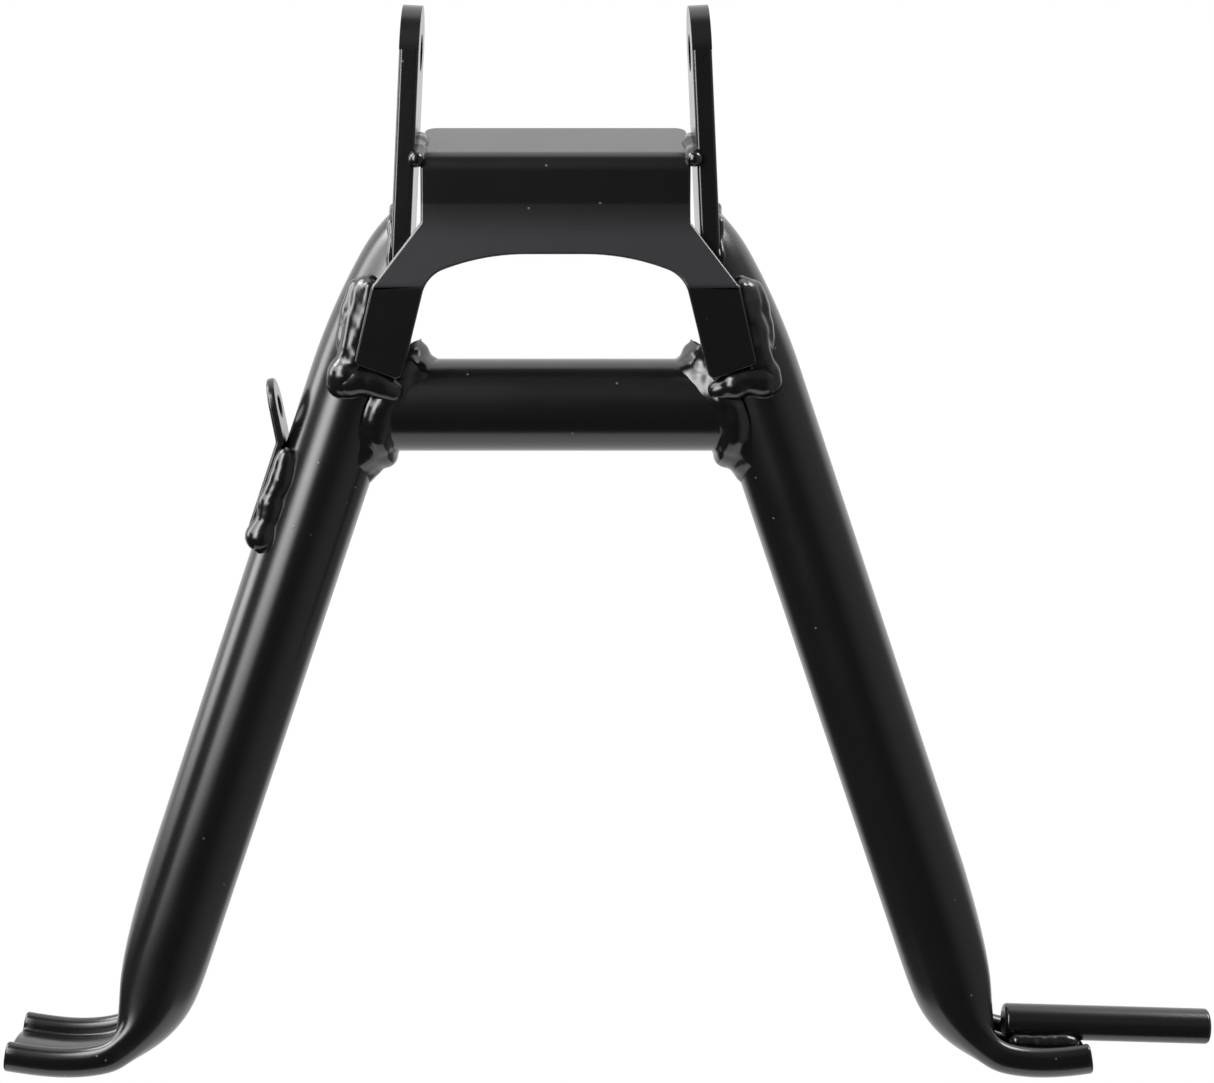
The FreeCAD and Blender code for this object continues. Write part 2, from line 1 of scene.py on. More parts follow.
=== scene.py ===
import math
import random
import bpy
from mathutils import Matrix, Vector


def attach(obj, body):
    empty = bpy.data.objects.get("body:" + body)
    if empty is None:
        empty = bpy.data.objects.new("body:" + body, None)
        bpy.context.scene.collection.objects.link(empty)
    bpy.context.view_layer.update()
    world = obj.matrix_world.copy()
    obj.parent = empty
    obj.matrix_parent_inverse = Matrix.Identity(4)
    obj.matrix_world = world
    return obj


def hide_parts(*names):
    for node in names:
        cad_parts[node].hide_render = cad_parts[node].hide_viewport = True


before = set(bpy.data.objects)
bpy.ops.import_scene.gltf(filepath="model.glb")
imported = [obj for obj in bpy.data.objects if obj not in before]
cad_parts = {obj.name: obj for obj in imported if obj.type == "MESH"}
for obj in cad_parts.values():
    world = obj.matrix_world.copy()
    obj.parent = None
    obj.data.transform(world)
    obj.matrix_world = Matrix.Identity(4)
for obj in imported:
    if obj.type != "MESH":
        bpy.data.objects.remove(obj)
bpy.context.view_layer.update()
print("frame loaded")

mm = 0.001
weldDistance = 0.000002             # under which a rolled tube's points are one
tubeSmoothAngle = 42
beadSmoothAngle = 60

cameraSettings = {
    "place": Vector((0, -0.6602, -0.0370)),
    "downwards": 8.3,               # degrees below level
    "focalPixels": 2400,
    "axisPixel": 555.5,             # where the lens axis meets the picture, from its left edge
    "pictureWidth": 1214,
    "sensor": 36,
}

studioSettings = {
    "floorDrop": 0.95,
    "floorWidth": 1.2,
    "floorLength": 14,
    "floorFront": -0.3,             # the floor lies under and behind the stand
    "whiteness": 1.0,
    "paperColour": (0.86, 0.86, 0.86, 1),
}

# name: middle, where it faces, width, height, radiance
lampSettings = {
    "leftSoftbox": ((-0.89, -1.12, 0.51), (0, 0, 0.2), 0.97, 1.78, 2.2),
    "leftSoftboxMiddle": ((-0.86, -1.08, 0.55), (0, 0, 0.2), 0.70, 1.56, 2.6),
    "leftSoftboxCore": ((-0.82, -1.08, 0.62), (0, 0, 0.2), 0.45, 1.44, 3.6),
    "crownPanel": ((-1.22, -0.45, 0.66), (0, 0, 0), 0.80, 0.60, 3.4),
    "leftEdgePanel": ((-1.28, 0.19, 0.40), (0, 0, 0.2), 0.66, 1.20, 1.8),
    "leftEdgePanelCore": ((-1.26, 0.18, 0.46), (0, 0, 0.2), 0.42, 1.10, 4.0),
    "upperLeftSoftbox": ((-0.75, -0.55, 0.9), (0, 0, -0.1), 0.5, 0.5, 3.0),
    "leftRimLamp": ((-0.95, 0.10, 1.00), (0, 0, -0.1), 0.6, 0.6, 9.0),
    "rightRimLamp": ((0.95, 0.05, 1.00), (0, 0, -0.1), 0.6, 0.6, 11.0),
}

paintSettings = {
    "colour": (0.0040, 0.0041, 0.0046, 1),
    "roughness": 0.225,
    "roughnessSpread": 0.08,
    "specular": 0.8,
    "peelScale": 900,
    "peelDepth": 0.000004,
    "speckScale": 420,
}

weldPaintSettings = {
    "colour": (0.0036, 0.0037, 0.0042, 1),
    "roughness": 0.19,
    "roughnessSpread": 0.08,
    "specular": 0.8,
    "peelScale": 500,
    "peelDepth": 0.000006,
    "speckScale": 300,
}


def deselectAll():
    if bpy.context.object and bpy.context.object.mode != "OBJECT":
        bpy.ops.object.mode_set(mode="OBJECT")
    bpy.ops.object.select_all(action="DESELECT")


def pick(piece):
    deselectAll()
    piece.select_set(True)
    bpy.context.view_layer.objects.active = piece


def applyModifier(piece, kind, **values):
    pick(piece)
    modifier = piece.modifiers.new(kind.lower(), kind)
    for key, value in values.items():
        setattr(modifier, key, value)
    bpy.ops.object.modifier_apply(modifier=modifier.name)


def smoothByAngle(piece, angle):
    pick(piece)
    bpy.ops.object.shade_smooth_by_angle(angle=math.radians(angle))


def place(piece, node):
    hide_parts(node)
    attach(piece, "root")


# Paint

dustGrains = {
    "edge": 0.16,                   # of a cell, from its middle
    "core": 0.05,
    "rarity": 0.965,                # share of the cells without a grain
    "height": 6,                    # against the depth of the paint's peel
    "colour": (0.16, 0.16, 0.17, 1),
}

cloudSettings = {"scale": 55, "detail": 5}


def makePeelGroup():
    group = bpy.data.node_groups.new("paintPeel", "ShaderNodeTree")
    for name in ("Scale", "Depth", "Rough", "Spread", "Speck Scale"):
        group.interface.new_socket(name=name, in_out="INPUT", socket_type="NodeSocketFloat")
    group.interface.new_socket(name="Colour", in_out="INPUT", socket_type="NodeSocketColor")
    for name, kind in (("Base Color", "NodeSocketColor"), ("Roughness", "NodeSocketFloat"),
                       ("Normal", "NodeSocketVector")):
        group.interface.new_socket(name=name, in_out="OUTPUT", socket_type=kind)
    nodes = group.nodes
    links = group.links
    given = nodes.new("NodeGroupInput")
    result = nodes.new("NodeGroupOutput")
    coordinates = nodes.new("ShaderNodeTexCoord")

    peel = nodes.new("ShaderNodeTexNoise")
    peel.inputs["Detail"].default_value = 2
    links.new(coordinates.outputs["Object"], peel.inputs["Vector"])
    links.new(given.outputs["Scale"], peel.inputs["Scale"])

    cloud = nodes.new("ShaderNodeTexNoise")
    cloud.inputs["Scale"].default_value = cloudSettings["scale"]
    cloud.inputs["Detail"].default_value = cloudSettings["detail"]
    links.new(coordinates.outputs["Object"], cloud.inputs["Vector"])

    # grains of dust under the paint: only the cores of a few cells
    cells = nodes.new("ShaderNodeTexVoronoi")
    links.new(coordinates.outputs["Object"], cells.inputs["Vector"])
    links.new(given.outputs["Speck Scale"], cells.inputs["Scale"])
    core = nodes.new("ShaderNodeMapRange")
    core.inputs["From Min"].default_value = dustGrains["edge"]
    core.inputs["From Max"].default_value = dustGrains["core"]
    links.new(cells.outputs["Distance"], core.inputs["Value"])
    split = nodes.new("ShaderNodeSeparateColor")
    links.new(cells.outputs["Color"], split.inputs["Color"])
    rare = nodes.new("ShaderNodeMath")
    rare.operation = "GREATER_THAN"
    rare.inputs[1].default_value = dustGrains["rarity"]
    links.new(split.outputs["Red"], rare.inputs[0])
    grain = nodes.new("ShaderNodeMath")
    grain.operation = "MULTIPLY"
    links.new(core.outputs["Result"], grain.inputs[0])
    links.new(rare.outputs["Value"], grain.inputs[1])

    height = nodes.new("ShaderNodeMath")
    height.operation = "MULTIPLY_ADD"
    height.inputs[1].default_value = dustGrains["height"]
    links.new(grain.outputs["Value"], height.inputs[0])
    links.new(peel.outputs["Fac"], height.inputs[2])
    bump = nodes.new("ShaderNodeBump")
    bump.inputs["Strength"].default_value = 1
    links.new(given.outputs["Depth"], bump.inputs["Distance"])
    links.new(height.outputs["Value"], bump.inputs["Height"])
    links.new(bump.outputs["Normal"], result.inputs["Normal"])

    swing = nodes.new("ShaderNodeMath")
    swing.operation = "SUBTRACT"
    swing.inputs[1].default_value = 0.5
    links.new(cloud.outputs["Fac"], swing.inputs[0])
    rough = nodes.new("ShaderNodeMath")
    rough.operation = "MULTIPLY_ADD"
    rough.use_clamp = True
    links.new(swing.outputs["Value"], rough.inputs[0])
    links.new(given.outputs["Spread"], rough.inputs[1])
    links.new(given.outputs["Rough"], rough.inputs[2])
    links.new(rough.outputs["Value"], result.inputs["Roughness"])

    lift = nodes.new("ShaderNodeMix")
    lift.data_type = "RGBA"
    lift.blend_type = "MIX"
    lift.inputs[7].default_value = dustGrains["colour"]
    links.new(grain.outputs["Value"], lift.inputs[0])
    links.new(given.outputs["Colour"], lift.inputs[6])
    links.new(lift.outputs[2], result.inputs["Base Color"])
    return group


peelGroup = makePeelGroup()


def makePaint(name, settings):
    material = bpy.data.materials.new(name)
    material.use_nodes = True
    nodes = material.node_tree.nodes
    links = material.node_tree.links
    shader = nodes["Principled BSDF"]
    shader.inputs["IOR"].default_value = 1.5
    shader.inputs["Specular IOR Level"].default_value = settings["specular"]
    surface = nodes.new("ShaderNodeGroup")
    surface.node_tree = peelGroup
    surface.inputs["Scale"].default_value = settings["peelScale"]
    surface.inputs["Depth"].default_value = settings["peelDepth"]
    surface.inputs["Rough"].default_value = settings["roughness"]
    surface.inputs["Spread"].default_value = settings["roughnessSpread"]
    surface.inputs["Speck Scale"].default_value = settings["speckScale"]
    surface.inputs["Colour"].default_value = settings["colour"]
    for socket in ("Base Color", "Roughness", "Normal"):
        links.new(surface.outputs[socket], shader.inputs[socket])
    return material


blackPaint = makePaint("blackPaint", paintSettings)
weldPaint = makePaint("weldPaint", weldPaintSettings)

# Painted sheen: the apron between the wings' crease and the face is painted a lighter grey. It stands in
# for the light that the apron's upward slope reflects.
apronPaintedSheen = {
    "bottom": -0.0622,              # height of the crease where the wings start
    "top": -0.0392,
    "fade": 0.0012,
    "colour": (0.0270, 0.0274, 0.0300, 1),
}


def makePlatePaint():
    material = makePaint("platePaint", paintSettings)
    nodes = material.node_tree.nodes
    links = material.node_tree.links
    coordinates = nodes.new("ShaderNodeTexCoord")
    parts = nodes.new("ShaderNodeSeparateXYZ")
    links.new(coordinates.outputs["Object"], parts.inputs["Vector"])
    above = nodes.new("ShaderNodeMapRange")
    above.inputs["From Min"].default_value = apronPaintedSheen["bottom"] - apronPaintedSheen["fade"] / 2
    above.inputs["From Max"].default_value = apronPaintedSheen["bottom"] + apronPaintedSheen["fade"] / 2
    links.new(parts.outputs["Z"], above.inputs["Value"])
    below = nodes.new("ShaderNodeMapRange")
    below.interpolation_type = "SMOOTHSTEP"
    below.inputs["From Min"].default_value = apronPaintedSheen["top"]
    below.inputs["From Max"].default_value = (apronPaintedSheen["top"] + apronPaintedSheen["bottom"]) / 2
    links.new(parts.outputs["Z"], below.inputs["Value"])
    slope = nodes.new("ShaderNodeMath")
    slope.operation = "MULTIPLY"
    links.new(above.outputs["Result"], slope.inputs[0])
    links.new(below.outputs["Result"], slope.inputs[1])
    # the painted sheen, mixed over the paint's own colour on the apron
    paintedSheen = nodes.new("ShaderNodeMix")
    paintedSheen.data_type = "RGBA"
    paintedSheen.inputs[7].default_value = apronPaintedSheen["colour"]
    surface = [node for node in nodes if node.type == "GROUP"][0]
    shader = nodes["Principled BSDF"]
    links.new(slope.outputs["Value"], paintedSheen.inputs[0])
    links.new(surface.outputs["Base Color"], paintedSheen.inputs[6])
    links.new(paintedSheen.outputs[2], shader.inputs["Base Color"])
    return material


platePaint = makePlatePaint()
print("paints ready")


# Plate, ears, lever and tab: the frame's own forms with softened edges

edgeSettings = {
    "mergeDistance": 0.000004,
    "flatAngle": 0.6,               # degrees, under which neighbouring triangles are one flat face
    "bevelAngle": 32,
    "smoothAngle": 40,
    "segments": 4,
}

# node: bevel width in metres
bevelWidths = {
    "bridge_plate": 0.0007,
    "left_pivot_ear": 0.0006,
    "right_pivot_ear": 0.0006,
    "spring_tab": 0.0007,
    "foot_lever": 0.0005,
}


def softenedCopy(node, width):
    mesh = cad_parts[node].data.copy()
    piece = bpy.data.objects.new(node + "_painted", mesh)
    bpy.context.scene.collection.objects.link(piece)
    mesh.materials.clear()
    mesh.materials.append(platePaint if node == "bridge_plate" else blackPaint)
    pick(piece)
    bpy.ops.object.mode_set(mode="EDIT")
    bpy.ops.mesh.select_all(action="SELECT")
    bpy.ops.mesh.remove_doubles(threshold=edgeSettings["mergeDistance"])
    bpy.ops.mesh.dissolve_limited(angle_limit=math.radians(edgeSettings["flatAngle"]))
    bpy.ops.mesh.normals_make_consistent(inside=False)
    bpy.ops.object.mode_set(mode="OBJECT")
    applyModifier(
        piece, "BEVEL", width=width, segments=edgeSettings["segments"], limit_method="ANGLE",
        angle_limit=math.radians(edgeSettings["bevelAngle"]), use_clamp_overlap=node != "bridge_plate")
    smoothByAngle(piece, edgeSettings["smoothAngle"])
    applyModifier(piece, "WEIGHTED_NORMAL", mode="FACE_AREA", weight=100, keep_sharp=True)
    place(piece, node)
    return piece


for node, width in bevelWidths.items():
    softenedCopy(node, width)
print("plate, ears, lever and tab dressed")


# Tubes. A tube starts as a flat grid that is rolled up, one row of the grid a section of the tube.

def rollUp(name, rows):
    around = len(rows[0])
    deselectAll()
    bpy.ops.mesh.primitive_grid_add(x_subdivisions=around, y_subdivisions=len(rows) - 1, size=1)
    tube = bpy.context.object
    tube.name = name
    for index, vertex in enumerate(tube.data.vertices):
        row, step = divmod(index, around + 1)
        vertex.co = rows[row][step % around] * mm
    return tube


def closeUp(tube):
    pick(tube)
    bpy.ops.object.mode_set(mode="EDIT")
    bpy.ops.mesh.select_all(action="SELECT")
    bpy.ops.mesh.remove_doubles(threshold=weldDistance)
    bpy.ops.mesh.fill_holes(sides=0)
    bpy.ops.mesh.select_all(action="SELECT")
    bpy.ops.mesh.normals_make_consistent(inside=False)
    bpy.ops.object.mode_set(mode="OBJECT")


legTube = {                         # millimetres and degrees
    "radius": 12.7,
    "wall": 2.3,
    "lean": 18.94,
    "axisX": 57.37,                 # of the leg's axis at the cross tube
    "axisDrop": 95.2,
    "shoulderDrop": 89.1,
    "shoulderRadius": 177.0,
    "shoulderTurn": 10.5,
    "crownRadius": 35.0,
    "crownTurn": 34.0,
    "around": 96,
    "crownRows": 14,
    "shoulderRows": 10,
    "straightRows": 16,
}

pressedFoot = {
    "standHeight": 285.4,
    "pressLength": 30.0,
    "heelRadius": 33.0,
    "toeRadius": 55.0,
    "rockerAngle": 15.0,
    "toeAngle": 10.0,
    "width": 30.0,
    "height": 9.6,
    "foldHalf": 2.6,
    "corner": 6.0,
    "floorCrown": 1.2,
    "crease": 6.0,
    "creaseSharpness": 8,
    "growth": 8,
    "boreEnd": 0.95,
    "pressStations": (1.0, 0.62, 0.36, 0.14),
    "heelStations": (0.14, 0.34, 0.52, 0.68, 0.84, 1.0),
    "toeStations": (0.3, 0.65, 1.0),
    "rowsPerSpan": 7,
    "endRound": 0.7,
    "endSpare": 1.4,                # rows this close to the end give way to its rounding, in radii
    "endRows": 4,
    "lengths": {"left": 15.4, "right": 11.4},   # from the ground contact to the foot's end
}

earPlace = {"x": 36.2, "lean": 3.0, "thickness": 5.3, "length": 81.334}
notchReach = 200                    # of the block that cuts the crown, past the stand on all sides


def onLeg(drop):
    x = legTube["axisX"] + (drop - legTube["axisDrop"]) * math.tan(math.radians(legTube["lean"]))
    return Vector((x, 0, -drop))


def roundSection(centre, heading, radius):
    up = Vector((-math.sin(heading), 0, math.cos(heading)))
    section = []
    for step in range(legTube["around"]):
        angle = 2 * math.pi * step / legTube["around"] - math.pi / 2
        section.append(centre + Vector((0, radius * math.cos(angle), 0)) + up * radius * math.sin(angle))
    return section


def heelDrop():
    foot = pressedFoot
    headingDown = math.radians(legTube["lean"] - 90)
    rocker = math.radians(foot["rockerAngle"])
    heelFall = (foot["heelRadius"] - legTube["radius"]) * (math.cos(rocker) - math.cos(headingDown))
    toeFall = (foot["toeRadius"] - legTube["radius"]) * (1 - math.cos(rocker))
    return foot["standHeight"] - legTube["radius"] - heelFall - toeFall


def upperRows(radius):
    leg = legTube
    lean = math.radians(leg["lean"])
    middle = lean + math.radians(leg["shoulderTurn"])
    last = middle + math.radians(leg["crownTurn"])
    shoulder = onLeg(leg["shoulderDrop"])
    firstCentre = shoulder - Vector((math.cos(lean), 0, math.sin(lean))) * leg["shoulderRadius"]
    along = Vector((math.cos(middle), 0, math.sin(middle)))
    crown = firstCentre + along * leg["shoulderRadius"]
    secondCentre = crown - along * leg["crownRadius"]
    rows = []
    for step in range(leg["crownRows"]):
        angle = last + (middle - last) * step / leg["crownRows"]
        point = secondCentre + Vector((math.cos(angle), 0, math.sin(angle))) * leg["crownRadius"]
        rows.append(roundSection(point, angle - math.pi / 2, radius))
    for step in range(leg["shoulderRows"]):
        angle = middle + (lean - middle) * step / leg["shoulderRows"]
        point = firstCentre + Vector((math.cos(angle), 0, math.sin(angle))) * leg["shoulderRadius"]
        rows.append(roundSection(point, angle - math.pi / 2, radius))
    pressStart = onLeg(heelDrop() - pressedFoot["pressLength"] * math.cos(lean))
    for step in range(leg["straightRows"]):
        point = shoulder.lerp(pressStart, step / leg["straightRows"])
        rows.append(roundSection(point, lean - math.pi / 2, radius))
    return rows


def troughPoint(share, halfFold):
    foot = pressedFoot
    fold = foot["foldHalf"]
    halfLine = foot["width"] / 2 - fold
    bend = foot["corner"] - fold
    flat = halfLine - bend
    upright = foot["height"] - 2 * fold - bend
    length = flat + bend * math.pi / 2 + upright
    walk = min(share, 1 - share) * 2 * (length + halfFold * math.pi / 2)
    outside = 1 if share < 0.5 else -1
    base = fold - legTube["radius"]
    if walk > length:
        turn = (walk - length) / max(halfFold, 0.01)
        across = halfLine + outside * halfFold * math.cos(turn)
        return across, base + bend + upright + halfFold * math.sin(turn)
    if walk <= flat:
        crown = foot["floorCrown"] * (1 - (walk / flat) ** 2) if outside < 0 else 0
        return walk, base - outside * halfFold + crown
    turn = (walk - flat) / bend
    if turn > math.pi / 2:
        rise = walk - flat - bend * math.pi / 2
        return halfLine + outside * halfFold, base + bend + rise
    reach = bend + outside * halfFold
    return flat + reach * math.sin(turn), base + bend - reach * math.cos(turn)


def pressedSection(point, heading, pressing, inset):
    foot = pressedFoot
    press = pressing ** foot["growth"]
    crease = foot["crease"] * pressing ** 2 * (1 - press)
    radius = legTube["radius"] - inset
    up = Vector((-math.sin(heading), 0, math.cos(heading)))
    half = legTube["around"] // 2
    outline = []
    for step in range(half + 1):
        angle = math.pi * step / half - math.pi / 2
        across, rise = troughPoint(step / half, foot["foldHalf"] - inset)
        across = press * across + (1 - press) * radius * math.cos(angle)
        rise = press * rise + (1 - press) * radius * math.sin(angle)
        if angle > 0:
            rise -= crease * math.sin(angle) ** foot["creaseSharpness"]
        outline.append((across, rise))
    other = [(-across, rise) for across, rise in reversed(outline[1:-1])]
    return [point + Vector((0, across, 0)) + up * rise for across, rise in outline + other]


def footStations(length):
    foot = pressedFoot
    headingDown = math.radians(legTube["lean"] - 90)
    rocker = math.radians(foot["rockerAngle"])
    toe = math.radians(foot["toeAngle"])
    heel = onLeg(heelDrop())
    down = Vector((math.cos(headingDown), 0, math.sin(headingDown)))
    stations = []
    for share in foot["pressStations"]:
        walked = foot["pressLength"] * (1 - share)
        stations.append((heel - down * foot["pressLength"] * share, headingDown, walked))
    walked = foot["pressLength"]
    arcs = (
        (foot["heelRadius"] - legTube["radius"], headingDown, -rocker - headingDown, foot["heelStations"]),
        (foot["toeRadius"] - legTube["radius"], -rocker, rocker + toe, foot["toeStations"]))
    point = heel
    for radius, first, turn, shares in arcs:
        centre = point + Vector((-math.sin(first), 0, math.cos(first))) * radius
        for share in shares:
            heading = first + turn * share
            point = centre + Vector((math.sin(heading), 0, -math.cos(heading))) * radius
            stations.append((point, heading, walked + turn * share * radius))
        walked += turn * radius
    contact = centre.x              # the rocker's lowest point lies under its centre
    run = (contact + length - point.x) / math.cos(toe)
    onwards = Vector((math.cos(toe), 0, math.sin(toe)))
    stations.append((point + onwards * run, toe, walked + run))
    return stations


def blendWeights(along, count):
    spans = count - 3
    knots = [0] * 4 + list(range(1, spans)) + [spans] * 4
    span = min(int(along), spans - 1) + 3
    weights = [1.0]
    for degree in range(1, 4):
        following = [0.0] * (degree + 1)
        for index, weight in enumerate(weights):
            low = knots[span - degree + 1 + index]
            high = knots[span + 1 + index]
            share = (along - low) / (high - low)
            following[index] += weight * (1 - share)
            following[index + 1] += weight * share
        weights = following
    return span - 3, weights


def footRows(length, inset, lastPressing):
    foot = pressedFoot
    headingDown = math.radians(legTube["lean"] - 90)
    heelRun = (-math.radians(foot["rockerAngle"]) - headingDown) * (foot["heelRadius"] - legTube["radius"])
    pressRun = foot["pressLength"] + heelRun
    sections = []
    for point, heading, walked in footStations(length):
        pressing = min(1.0, walked / pressRun)
        if pressing <= lastPressing:
            sections.append(pressedSection(point, heading, pressing, inset))
    rows = []
    count = (len(sections) - 3) * foot["rowsPerSpan"]
    for step in range(count + 1):
        first, weights = blendWeights(step / foot["rowsPerSpan"], len(sections))
        row = []
        for corner in range(legTube["around"]):
            point = Vector((0, 0, 0))
            for index, weight in enumerate(weights):
                point += sections[first + index][corner] * weight
            row.append(point)
        rows.append(row)
    return rows


def roundedEnd(rows, length):
    foot = pressedFoot
    point, heading, walked = footStations(length)[-1]
    onwards = Vector((math.cos(heading), 0, math.sin(heading)))
    size = foot["endRound"]
    rows = [row for row in rows if (row[0] - point).dot(onwards) < -size * foot["endSpare"]]
    for step in range(foot["endRows"] + 1):
        turn = math.pi / 2 * step / foot["endRows"]
        middle = point - onwards * size * (1 - math.sin(turn))
        rows.append(pressedSection(middle, heading, 1.0, size * (1 - math.cos(turn))))
    return rows


def makeLeg(side):
    length = pressedFoot["lengths"][side]
    turnOver = -1 if side == "left" else 1
    outer = roundedEnd(upperRows(legTube["radius"]) + footRows(length, 0, 1.0), length)
    boreRadius = legTube["radius"] - legTube["wall"]
    bore = upperRows(boreRadius) + footRows(length, legTube["wall"], pressedFoot["boreEnd"])
    forms = []
    for name, rows in (("leg", outer), ("bore", bore)):
        rows = [[Vector((point.x * turnOver, point.y, point.z)) for point in row] for row in rows]
        form = rollUp(side + name, rows)
        closeUp(form)
        forms.append(form)
    leg, boreForm = forms

    # the crown is cut along the ear's outer face and its lower end
    deselectAll()
    reach = notchReach
    bpy.ops.mesh.primitive_cube_add(size=1)
    notch = bpy.context.object
    notch.scale = Vector((reach + earPlace["thickness"], reach, reach + earPlace["length"])) * mm
    middleX = (earPlace["thickness"] - reach) / 2
    middleZ = (reach - earPlace["length"]) / 2
    lean = math.radians(earPlace["lean"])
    across = earPlace["x"] + middleX * math.cos(lean) - middleZ * math.sin(lean)
    rise = middleX * math.sin(lean) + middleZ * math.cos(lean)
    notch.location = Vector((turnOver * across, 0, rise)) * mm
    notch.rotation_euler = (0, -turnOver * lean, 0)
    for cutter in (boreForm, notch):
        applyModifier(leg, "BOOLEAN", object=cutter, operation="DIFFERENCE", solver="EXACT")
        bpy.data.objects.remove(cutter)
    leg.data.materials.clear()
    leg.data.materials.append(blackPaint)
    smoothByAngle(leg, tubeSmoothAngle)
    place(leg, side + "_leg_tube")
    return leg


for side in ("left", "right"):
    makeLeg(side)
print("legs rolled, pressed and notched")


crossTube = {
    "radius": 12.7,
    "wall": 2.3,
    "drop": 95.2,
    "copeTrim": 9.1,
    "around": 96,
    "rows": 28,
}


def copeX(angle):
    tube = crossTube
    drop = tube["drop"] - tube["radius"] * math.sin(angle)
    reach = tube["radius"] - (tube["radius"] - tube["copeTrim"]) * math.cos(angle) ** 2
    return onLeg(drop).x - reach / math.cos(math.radians(legTube["lean"]))


def makeCrossTube():
    tube = crossTube
    rows = []
    for radius, direction in ((tube["radius"], 1), (tube["radius"] - tube["wall"], -1)):
        for step in range(tube["rows"] + 1):
            share = direction * (2 * step / tube["rows"] - 1)
            row = []
            for corner in range(tube["around"]):
                angle = 2 * math.pi * corner / tube["around"]
                row.append(Vector((
                    copeX(angle) * share, radius * math.cos(angle),
                    radius * math.sin(angle) - tube["drop"])))
            rows.append(row)
    rows.append(rows[0])
    piece = rollUp("crossTube", rows)
    closeUp(piece)
    piece.data.materials.append(blackPaint)
    smoothByAngle(piece, tubeSmoothAngle)
    place(piece, "cross_tube")


makeCrossTube()
print("cross tube rolled")


# Weld beads: overlapping lumps of metal along each seam, melted with the tube's skin into one form,
# from which the tube itself is then cut

weldBeads = {
    "voxel": 0.38,
    "spacing": 0.34,                # between the lumps, in bead radii
    "swell": 0.06,
    "waver": 0.15,                  # millimetres off the seam's line
    "skinSunk": 0.32,               # the tube's skin in the melt, below the tube's real surface
    "coreSunk": 0.20,
    "coreSpare": 6,                 # how much further the cut-out tube reaches than the melted skin
    "swellPaces": (0.8, 1.7),
    "waverPace": 0.6,
}

# Heights between which the leg's skin is melted in, and where the cross tube's skin starts. With coreSpare
# the cut-out tube has to take in one more row of the leg at each end. Otherwise it ends where the skin
# does, and the skin's end stays behind as a disc in the bore.
legSkinEnds = {"wing": (-54, -130), "cross": (-54, -130), "tab": (-94, -146)}
crossSkinStart = 26

# first word of a weld's name: how often its melt is smoothed
meltSmoothing = {"wing": 36, "cross": 48, "flange": 14, "ear": 10, "lever": 16, "tab": 30}

# Strands of a weld, right side: points of the seam as x, y, z and the bead's radius there
seams = {
    "wing_side_weld": (
        ((50.6, -11.6, -62.6, 3.4), (51.6, -12.0, -66.5, 4.0), (52.6, -11.9, -70.8, 3.6),
         (53.7, -11.9, -75.0, 4.0), (54.7, -11.8, -79.2, 3.4), (55.8, -11.8, -82.2, 3.3),
         (57.0, -11.3, -85.9, 4.7), (57.5, -11.1, -88.0, 4.6)),
        ((53.0, -10.0, -63.2, 3.3), (54.4, -9.6, -67.8, 3.6), (55.6, -9.4, -73.0, 3.4),
         (56.6, -9.6, -78.6, 3.0)),
        ((49.6, -14.1, -62.8, 2.6), (51.0, -13.7, -69.0, 2.7), (52.5, -13.3, -76.0, 2.6),
         (54.0, -12.8, -82.4, 2.8))),
    "wing_under_weld": (
        ((56.0, -11.6, -87.8, 4.3), (52.4, -12.1, -87.2, 4.2), (48.0, -11.9, -88.6, 4.1),
         (44.0, -11.1, -90.4, 3.5)),),
    "flange_weld": (
        ((36.9, -13.6, -28.4, 2.5), (36.9, -8.0, -26.6, 2.3), (36.9, -2.5, -24.9, 2.6),
         (36.9, 3.0, -23.2, 2.4)),),
    "ear_seam_weld": (
        ((45.7, 11.2, -80.9, 1.3), (45.3, 12.4, -71.9, 1.5), (44.8, 12.7, -62.8, 1.4),
         (44.3, 11.6, -53.8, 1.6), (43.9, 7.9, -45.5, 1.5), (43.7, 0.0, -41.5, 1.6),
         (43.9, -7.9, -45.5, 1.5), (44.3, -11.6, -53.8, 1.2), (44.8, -12.7, -62.8, 1.1),
         (45.3, -12.4, -71.9, 1.2), (45.7, -11.2, -80.9, 1.2)),),
}

wingEndHeight = -84                 # the lumps that end the wing's side bead lie below it
wingEndLess = {"left": 0, "right": 0.7}     # millimetres off their radius

leverSeam = ((131.4, 5.6, -276.1, 2.4), (136.0, 5.6, -276.2, 2.1), (141.0, 5.6, -276.3, 2.7),
             (146.5, 5.6, -276.5, 2.3))
tabSeams = (
    ((73.4, 8.2, -108.8, 2.6), (74.6, 8.2, -113.0, 3.9), (76.2, 8.1, -117.2, 3.1),
     (78.0, 8.0, -121.6, 3.9), (79.2, 8.0, -126.2, 3.0), (80.8, 7.9, -130.8, 4.3)),)

# Strands beside the ring's seam: reach along the metal, radius, how deep the middle is sunk in it
ringWeld = {
    "main": 3.6,
    "tubeSide": ((2.6, 4.4, 2.6), (4.8, 4.2, 3.5)),
    "legSide": ((2.6, 4.4, 2.6), (4.5, 4.2, 3.5)),
    "sides": 0.62,                  # width of the weld at the front and back, a share of the top's
    "bottom": 1.1,                  # of the leg's side under the tube
    "step": 2.0,                    # how deep it sits in the step at the front and back
    "lift": 1.2,                    # out of the corner, at the top and bottom
    "steps": 40,
    "sideMain": 0.85,               # of the main strand's radius at the front and back
    "topMain": 0.15,                # what the top and bottom have on top of that
    "sideOutset": 0.4,
    "ripple": 0.15,
}


